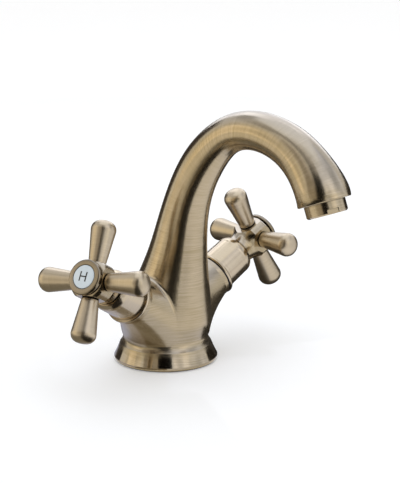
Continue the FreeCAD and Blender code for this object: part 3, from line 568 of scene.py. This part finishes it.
# Sheets on the floor: angles as above, then the inner and outer radius in millimetres.
FLOOR_SHEETS = (
    ("floor_front_near", -38, 3, 27, 56, (0.27, 0.245, 0.21)),
    ("floor_front_far", -27, 17, 56, 900, (0.02, 0.018, 0.016)),
    ("floor_left_near", -170, -38, 27, 58, (0.56, 0.58, 0.72)),
    ("floor_left_middle", -126, -27, 58, 190, (0.28, 0.27, 0.25)),
    ("floor_left_far", -126, -27, 190, 900, (0.82, 0.79, 0.74)),
    ("floor_left_rear", -170, -126, 58, 900, (0.10, 0.09, 0.08)),
    ("floor_right_near", 3, 92, 27, 56, (0.72, 0.76, 0.92)),
    ("floor_right", 17, 110, 56, 900, (0.80, 0.83, 0.94)),
    ("floor_right_rear", 92, 190, 27, 56, (0.03, 0.027, 0.024)),
    ("floor_rear", 110, 190, 56, 900, (0.06, 0.055, 0.05)),
)
TENT_CENTRE = Vector((0, -40 * MM, 60 * MM))
TENT_RADIUS = 0.9
SHEET_STEP = 2 * MM
FLOOR_SHEET_LIFT = 0.2 * MM
ARC_STEPS = 8
SWEEP_STEPS = 24
PAPER_CLOUDS = 2.6
PAPER_FADE = (0.3, 0.7)
PAPER_SHARES = (0.68, 1.2)


def lit_paper(name, tint):
    """A sheet that glows in its own tint, with soft clouds in it."""
    finish = Finish(name)
    cloud = finish.fade(finish.noise(finish.place(), PAPER_CLOUDS, detail=1.0), *PAPER_FADE)
    shade, light = (colour(*(channel * share for channel in tint)) for share in PAPER_SHARES)
    inputs = {"Color": finish.mix(cloud, shade, light), "Strength": 1.0}
    glow = finish.node("ShaderNodeEmission", inputs=inputs)
    finish.node("ShaderNodeOutputMaterial", inputs={"Surface": glow})
    return finish.material


def swept_sheet(name, profile, centre, start, end, tint, level_way):
    """A sheet swept round a standing axis from one angle to the other."""
    shape = bmesh.new()
    corners = [shape.verts.new(centre + reach * level_way + rise * UP) for reach, rise in profile]
    edges = [shape.edges.new(pair) for pair in zip(corners, corners[1:])]
    first_turn = Matrix.Rotation(math.radians(start), 3, UP)
    bmesh.ops.rotate(shape, verts=corners, cent=centre, matrix=first_turn)
    bmesh.ops.spin(
        shape, geom=corners + edges, cent=centre, axis=UP,
        angle=math.radians(end - start), steps=SWEEP_STEPS,
    )
    sheet = add_object(name, shape, lit_paper(name, tint))
    sheet.visible_camera = False
    sheet.visible_shadow = False
    sheet.visible_diffuse = False


def add_sheets(level_way):
    """The standing sheets, each a little nearer than the one before, and the sheets on the floor."""
    for index, (name, start, end, low, high, tint) in enumerate(STANDING_SHEETS):
        angles = [math.radians(low + (high - low) * step / ARC_STEPS) for step in range(ARC_STEPS + 1)]
        radius = TENT_RADIUS - index * SHEET_STEP
        profile = [(radius * math.cos(angle), radius * math.sin(angle)) for angle in angles]
        swept_sheet(name, profile, TENT_CENTRE, start, end, tint, level_way)
    for name, start, end, inner, outer, tint in FLOOR_SHEETS:
        profile = [(inner * MM, FLOOR_SHEET_LIFT), (outer * MM, FLOOR_SHEET_LIFT)]
        swept_sheet(name, profile, Vector((0, 0, 0)), start, end, tint, level_way)


def add_floor():
    finish = Finish("studio_floor")
    white = finish.mix(finish.noise(finish.place(), FLOOR_GRAIN), FLOOR_SHADE, FLOOR_LIGHT)
    material = finish.surface(
        Base_Color=white,
        Roughness=FLOOR_ROUGHNESS,
        Emission_Color=WHITE,
        Emission_Strength=FLOOR_GLOW,
    )
    shape = bmesh.new()
    bmesh.ops.create_grid(shape, x_segments=1, y_segments=1, size=FLOOR_SIZE / 2)
    add_object("floor", shape, material)


def add_soft_box(level_way):
    """A cool lamp overhead, a little behind the part."""
    lamp = bpy.data.lights.new("overhead_box", "AREA")
    lamp.shape = "RECTANGLE"
    lamp.size, lamp.size_y = BOX_SIZE
    lamp.energy = BOX_RADIANCE * math.pi * lamp.size * lamp.size_y
    lamp.color = BOX_COLOUR
    box = bpy.data.objects.new("overhead_box", lamp)
    away = -level_way * math.cos(BOX_ELEVATION) + UP * math.sin(BOX_ELEVATION)
    facing = away.to_track_quat("Z", "X").to_matrix().to_4x4()
    box.matrix_world = Matrix.Translation(TENT_CENTRE + away * BOX_DISTANCE) @ facing
    bpy.context.scene.collection.objects.link(box)


def add_world():
    world = bpy.data.worlds.new("studio_world")
    world.use_nodes = True
    background = world.node_tree.nodes["Background"].inputs
    background["Color"].default_value = WHITE
    background["Strength"].default_value = WORLD_STRENGTH
    bpy.context.scene.world = world


def add_studio(back):
    """White floor and world, a soft box overhead, and sheets for the metal to mirror."""
    level_way = Vector((back.x, back.y, 0)).normalized()
    add_floor()
    add_sheets(level_way)
    add_soft_box(level_way)
    add_world()


def main():
    bpy.context.scene.view_settings.view_transform = "Standard"
    back = add_camera()
    glaze = porcelain()
    dress_all(glaze)
    add_handle_faces(glaze)
    add_studio(back)


main()
